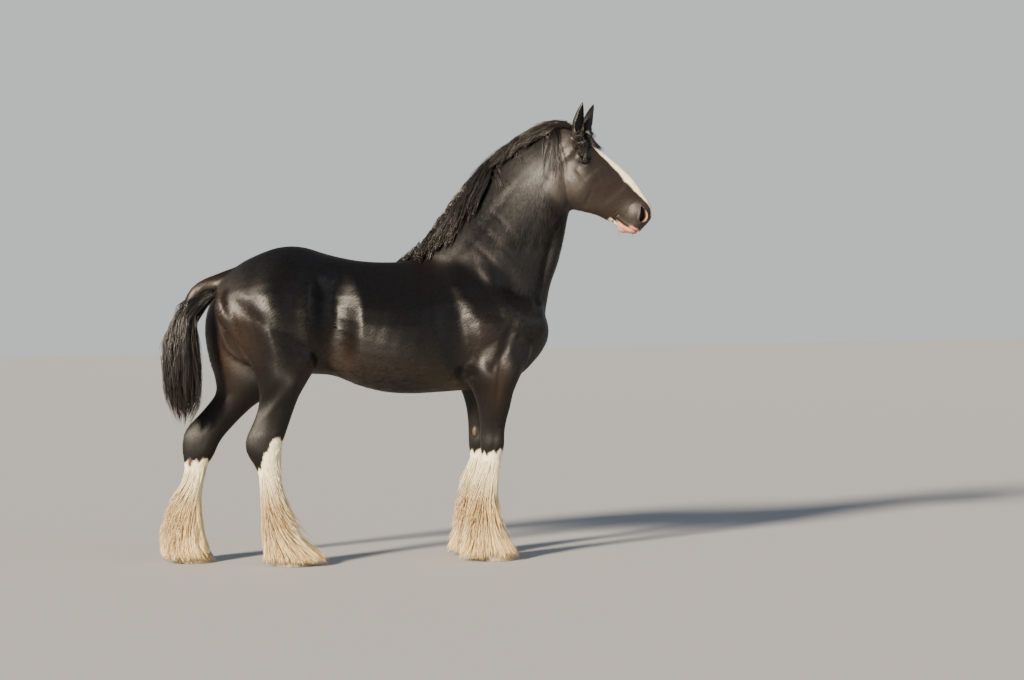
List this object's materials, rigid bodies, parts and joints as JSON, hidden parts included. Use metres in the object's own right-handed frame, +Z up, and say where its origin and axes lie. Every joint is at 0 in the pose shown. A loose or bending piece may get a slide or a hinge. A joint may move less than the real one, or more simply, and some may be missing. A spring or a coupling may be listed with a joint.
{
  "type": "shire horse",
  "caption": "Life-size still model of a standing shire stallion with mane, tail and feathered legs.",
  "frame": {"origin": "on the floor, under the middle of the whole model", "axes": "+X from tail to head, +Z up, -Y to the horse's right side"},
  "size_m": [2.7671, 0.707, 2.534],
  "materials": {
    "coat_black": "glossy short black hair with brown lights",
    "long_hair": "long black wavy hair of mane, forelock and tail",
    "feather": "long silky cream and tan leg hair",
    "hoof_horn": "pale hoof horn",
    "eye": "dark brown wet eye"
  },
  "bodies": {
    "root": {"head": "coat_black", "neck": "coat_black", "torso": "coat_black", "tail": "long_hair", "ear_right": "coat_black", "ear_left": "coat_black", "eye_right": "eye", "eye_left": "eye", "upper_fore_right": "coat_black", "upper_fore_left": "coat_black", "upper_hind_right": "coat_black", "upper_hind_left": "coat_black", "lower_fore_right": "feather", "lower_fore_left": "feather", "lower_hind_right": "feather", "lower_hind_left": "feather", "hoof_fore_right": "hoof_horn", "hoof_fore_left": "hoof_horn", "hoof_hind_right": "hoof_horn", "hoof_hind_left": "hoof_horn"}
  },
  "joints": []
}
